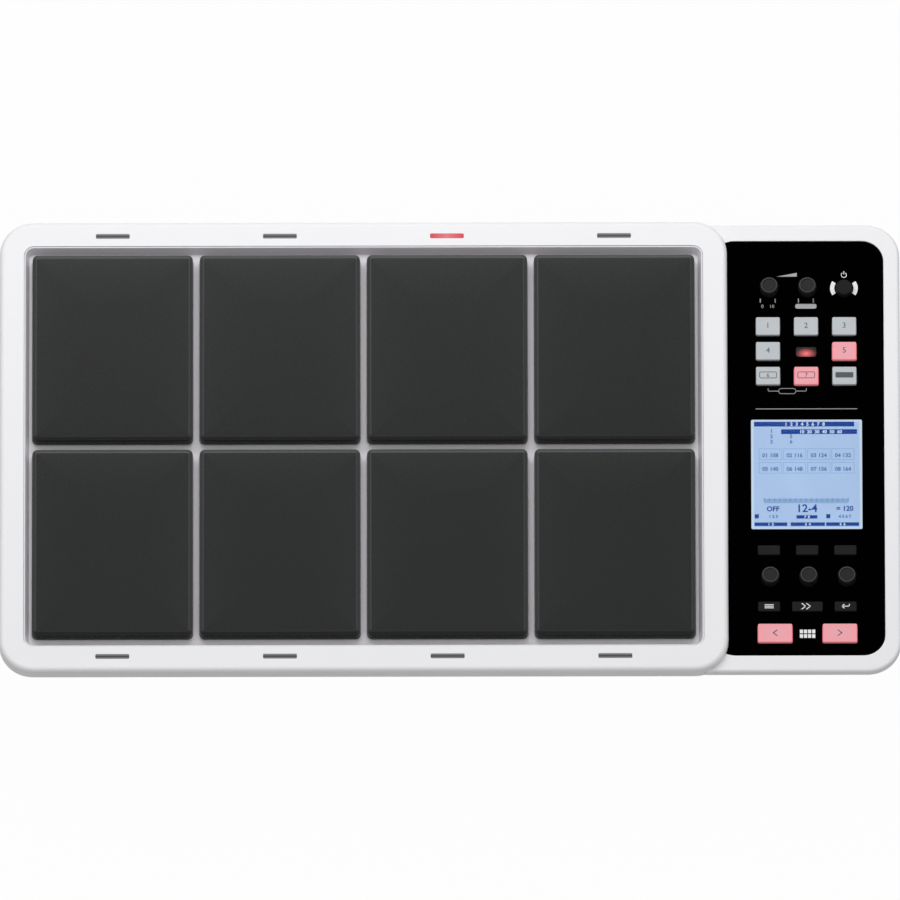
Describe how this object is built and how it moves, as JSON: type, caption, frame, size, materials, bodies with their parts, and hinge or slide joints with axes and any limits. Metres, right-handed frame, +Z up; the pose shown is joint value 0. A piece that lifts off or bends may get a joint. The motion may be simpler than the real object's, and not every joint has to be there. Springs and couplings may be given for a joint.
{
  "type": "electronic percussion pad",
  "caption": "Electronic percussion pad: rubber striking pads sprung in a white frame beside a black panel of keys, knobs and a display, on a tapered bottom case with rear sockets.",
  "frame": {"origin": "under the middle of the top case, on the surface that the feet stand on", "axes": "+X right along the width, +Y to the rear, +Z up"},
  "size_m": [0.532, 0.284, 0.096],
  "materials": {
    "white_abs": "moulded ABS, fine satin texture",
    "charcoal_abs": "moulded ABS, fine texture",
    "grey_abs": "moulded ABS, matt grey",
    "panel_black": "black acrylic sheet, satin gloss",
    "display_window": "clear acrylic window",
    "display_glass": "backlit pale blue display",
    "lamp_lens": "smoked translucent light bar",
    "status_lens": "red translucent lens",
    "pad_foam": "closed-cell foam",
    "sensor_brass": "brass disc",
    "circuit_board": "green solder mask",
    "black_nylon": "moulded nylon",
    "zinc_housing": "zinc die-cast housing",
    "steel_shell": "plated sheet steel",
    "foot_rubber": "soft moulded rubber",
    "screw_steel": "plated steel",
    "insert_brass": "knurled brass",
    "pad_rubber": "matt striking rubber",
    "plate_steel": "zinc-plated sheet steel",
    "grey_key": "translucent pale grey key, unlit",
    "lit_key": "translucent key, lit red from below",
    "dark_key": "matt dark grey key",
    "knob_plastic": "matt black fluted knob"
  },
  "bodies": {
    "case": {"pad_frame": "white_abs", "control_case": "white_abs", "bottom_case": "charcoal_abs", "pad_tray": "grey_abs", "control_panel": "panel_black", "lcd_window": "display_window", "lcd_module": "display_glass", "pad_lamps": "lamp_lens", "status_lamp": "status_lens", "pad_foams": "pad_foam", "pad_sensors": "sensor_brass", "panel_board": "circuit_board", "key_switches": "black_nylon", "rotary_bodies": "zinc_housing", "main_board": "circuit_board", "phone_jacks": "black_nylon", "din_sockets": "black_nylon", "usb_sockets": "steel_shell", "power_inlet": "black_nylon", "rubber_feet": "foot_rubber", "case_screws": "screw_steel", "stand_inserts": "insert_brass"},
    "pad_1": {"pad_1": "pad_rubber", "pad_plate_1": "plate_steel"},
    "pad_2": {"pad_2": "pad_rubber", "pad_plate_2": "plate_steel"},
    "pad_3": {"pad_3": "pad_rubber", "pad_plate_3": "plate_steel"},
    "pad_4": {"pad_4": "pad_rubber", "pad_plate_4": "plate_steel"},
    "pad_5": {"pad_5": "pad_rubber", "pad_plate_5": "plate_steel"},
    "pad_6": {"pad_6": "pad_rubber", "pad_plate_6": "plate_steel"},
    "pad_7": {"pad_7": "pad_rubber", "pad_plate_7": "plate_steel"},
    "pad_8": {"pad_8": "pad_rubber", "pad_plate_8": "plate_steel"},
    "grid_key_1": {"grid_key_1": "grey_key"},
    "grid_key_2": {"grid_key_2": "grey_key"},
    "grid_key_3": {"grid_key_3": "grey_key"},
    "grid_key_4": {"grid_key_4": "grey_key"},
    "grid_key_5": {"grid_key_5": "lit_key"},
    "grid_key_6": {"grid_key_6": "grey_key"},
    "grid_key_7": {"grid_key_7": "lit_key"},
    "grid_key_8": {"grid_key_8": "grey_key"},
    "soft_key_1": {"soft_key_1": "dark_key"},
    "soft_key_2": {"soft_key_2": "dark_key"},
    "soft_key_3": {"soft_key_3": "dark_key"},
    "menu_key": {"menu_key": "dark_key"},
    "quick_key": {"quick_key": "dark_key"},
    "back_key": {"back_key": "dark_key"},
    "kit_key_down": {"kit_key_down": "lit_key"},
    "kit_key_up": {"kit_key_up": "lit_key"},
    "power_button": {"power_button": "dark_key"},
    "volume_knob_phones": {"volume_knob_phones": "knob_plastic"},
    "volume_knob_output": {"volume_knob_output": "knob_plastic"},
    "encoder_knob_1": {"encoder_knob_1": "knob_plastic"},
    "encoder_knob_2": {"encoder_knob_2": "knob_plastic"},
    "encoder_knob_3": {"encoder_knob_3": "knob_plastic"}
  },
  "joints": [
    {"name": "pad_1_strike", "type": "slide", "parent": "case", "child": "pad_1", "axis": [0, 0, -1], "range_m": [0, 0.001], "stiffness_N_per_m": 30000, "springref_m": -0.0003, "deforming": ["pad_foams"]},
    {"name": "pad_2_strike", "type": "slide", "parent": "case", "child": "pad_2", "axis": [0, 0, -1], "range_m": [0, 0.001], "stiffness_N_per_m": 30000, "springref_m": -0.0003, "deforming": ["pad_foams"]},
    {"name": "pad_3_strike", "type": "slide", "parent": "case", "child": "pad_3", "axis": [0, 0, -1], "range_m": [0, 0.001], "stiffness_N_per_m": 30000, "springref_m": -0.0003, "deforming": ["pad_foams"]},
    {"name": "pad_4_strike", "type": "slide", "parent": "case", "child": "pad_4", "axis": [0, 0, -1], "range_m": [0, 0.001], "stiffness_N_per_m": 30000, "springref_m": -0.0003, "deforming": ["pad_foams"]},
    {"name": "pad_5_strike", "type": "slide", "parent": "case", "child": "pad_5", "axis": [0, 0, -1], "range_m": [0, 0.001], "stiffness_N_per_m": 30000, "springref_m": -0.0003, "deforming": ["pad_foams"]},
    {"name": "pad_6_strike", "type": "slide", "parent": "case", "child": "pad_6", "axis": [0, 0, -1], "range_m": [0, 0.001], "stiffness_N_per_m": 30000, "springref_m": -0.0003, "deforming": ["pad_foams"]},
    {"name": "pad_7_strike", "type": "slide", "parent": "case", "child": "pad_7", "axis": [0, 0, -1], "range_m": [0, 0.001], "stiffness_N_per_m": 30000, "springref_m": -0.0003, "deforming": ["pad_foams"]},
    {"name": "pad_8_strike", "type": "slide", "parent": "case", "child": "pad_8", "axis": [0, 0, -1], "range_m": [0, 0.001], "stiffness_N_per_m": 30000, "springref_m": -0.0003, "deforming": ["pad_foams"]},
    {"name": "grid_key_1_press", "type": "slide", "parent": "case", "child": "grid_key_1", "axis": [0, 0, -1], "range_m": [0, 0.0006], "stiffness_N_per_m": 2500},
    {"name": "grid_key_2_press", "type": "slide", "parent": "case", "child": "grid_key_2", "axis": [0, 0, -1], "range_m": [0, 0.0006], "stiffness_N_per_m": 2500},
    {"name": "grid_key_3_press", "type": "slide", "parent": "case", "child": "grid_key_3", "axis": [0, 0, -1], "range_m": [0, 0.0006], "stiffness_N_per_m": 2500},
    {"name": "grid_key_4_press", "type": "slide", "parent": "case", "child": "grid_key_4", "axis": [0, 0, -1], "range_m": [0, 0.0006], "stiffness_N_per_m": 2500},
    {"name": "grid_key_5_press", "type": "slide", "parent": "case", "child": "grid_key_5", "axis": [0, 0, -1], "range_m": [0, 0.0006], "stiffness_N_per_m": 2500},
    {"name": "grid_key_6_press", "type": "slide", "parent": "case", "child": "grid_key_6", "axis": [0, 0, -1], "range_m": [0, 0.0006], "stiffness_N_per_m": 2500},
    {"name": "grid_key_7_press", "type": "slide", "parent": "case", "child": "grid_key_7", "axis": [0, 0, -1], "range_m": [0, 0.0006], "stiffness_N_per_m": 2500},
    {"name": "grid_key_8_press", "type": "slide", "parent": "case", "child": "grid_key_8", "axis": [0, 0, -1], "range_m": [0, 0.0006], "stiffness_N_per_m": 2500},
    {"name": "soft_key_1_press", "type": "slide", "parent": "case", "child": "soft_key_1", "axis": [0, 0, -1], "range_m": [0, 0.0006], "stiffness_N_per_m": 2500},
    {"name": "soft_key_2_press", "type": "slide", "parent": "case", "child": "soft_key_2", "axis": [0, 0, -1], "range_m": [0, 0.0006], "stiffness_N_per_m": 2500},
    {"name": "soft_key_3_press", "type": "slide", "parent": "case", "child": "soft_key_3", "axis": [0, 0, -1], "range_m": [0, 0.0006], "stiffness_N_per_m": 2500},
    {"name": "menu_key_press", "type": "slide", "parent": "case", "child": "menu_key", "axis": [0, 0, -1], "range_m": [0, 0.0006], "stiffness_N_per_m": 2500},
    {"name": "quick_key_press", "type": "slide", "parent": "case", "child": "quick_key", "axis": [0, 0, -1], "range_m": [0, 0.0006], "stiffness_N_per_m": 2500},
    {"name": "back_key_press", "type": "slide", "parent": "case", "child": "back_key", "axis": [0, 0, -1], "range_m": [0, 0.0006], "stiffness_N_per_m": 2500},
    {"name": "kit_key_down_press", "type": "slide", "parent": "case", "child": "kit_key_down", "axis": [0, 0, -1], "range_m": [0, 0.0006], "stiffness_N_per_m": 2500},
    {"name": "kit_key_up_press", "type": "slide", "parent": "case", "child": "kit_key_up", "axis": [0, 0, -1], "range_m": [0, 0.0006], "stiffness_N_per_m": 2500},
    {"name": "power_button_press", "type": "slide", "parent": "case", "child": "power_button", "axis": [0, 0, -1], "range_m": [0, 0.0015], "stiffness_N_per_m": 1500},
    {"name": "volume_knob_phones_turn", "type": "hinge", "parent": "case", "child": "volume_knob_phones", "pos_m": [0.18885, 0.1004, 0.0872], "axis": [0, 0, 1], "range_deg": [-150, 150]},
    {"name": "volume_knob_output_turn", "type": "hinge", "parent": "case", "child": "volume_knob_output", "pos_m": [0.2114, 0.1004, 0.0872], "axis": [0, 0, 1], "range_deg": [-150, 150]},
    {"name": "encoder_knob_1_turn", "type": "hinge", "parent": "case", "child": "encoder_knob_1", "pos_m": [0.18885, -0.0824, 0.0872], "axis": [0, 0, 1], "continuous": true},
    {"name": "encoder_knob_2_turn", "type": "hinge", "parent": "case", "child": "encoder_knob_2", "pos_m": [0.2114, -0.0824, 0.0872], "axis": [0, 0, 1], "continuous": true},
    {"name": "encoder_knob_3_turn", "type": "hinge", "parent": "case", "child": "encoder_knob_3", "pos_m": [0.23395, -0.0824, 0.0872], "axis": [0, 0, 1], "continuous": true}
  ]
}
